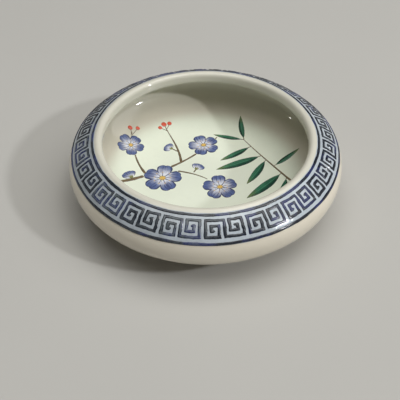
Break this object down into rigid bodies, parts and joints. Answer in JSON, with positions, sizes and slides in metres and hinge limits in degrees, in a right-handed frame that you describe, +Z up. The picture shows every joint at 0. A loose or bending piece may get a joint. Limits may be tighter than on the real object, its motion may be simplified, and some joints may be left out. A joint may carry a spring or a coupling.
{
  "type": "brush washer",
  "caption": "Shallow round porcelain brush washer with an in-curved shoulder, rolled lip, raised blue key-fret band, enamel sprigs on the floor and a low bare foot ring.",
  "frame": {"origin": "on the table, under the centre of the foot ring", "axes": "+Z up along the washer's axis, +X to the right and -Y towards the viewer of the picture"},
  "size_m": [0.12, 0.12, 0.033],
  "materials": {
    "biscuit": "matt, unglazed",
    "clear_glaze": "gloss",
    "pale_blue_wash": "gloss",
    "cobalt_enamel": "gloss",
    "twig_brown": "gloss",
    "petal_blue": "gloss",
    "pollen_ochre": "gloss",
    "leaf_green": "gloss",
    "berry_red": "gloss"
  },
  "bodies": {
    "root": {"bowl": "biscuit", "shoulder": "biscuit", "foot_ring": "biscuit", "outer_glaze": "clear_glaze", "inner_glaze": "clear_glaze", "base_glaze": "clear_glaze", "band_wash": "pale_blue_wash", "inner_line": "cobalt_enamel", "outer_line": "cobalt_enamel", "key_fret": "cobalt_enamel", "twig_enamel": "twig_brown", "petal_enamel": "petal_blue", "pollen_enamel": "pollen_ochre", "leaf_enamel": "leaf_green", "berry_enamel": "berry_red"}
  },
  "joints": []
}
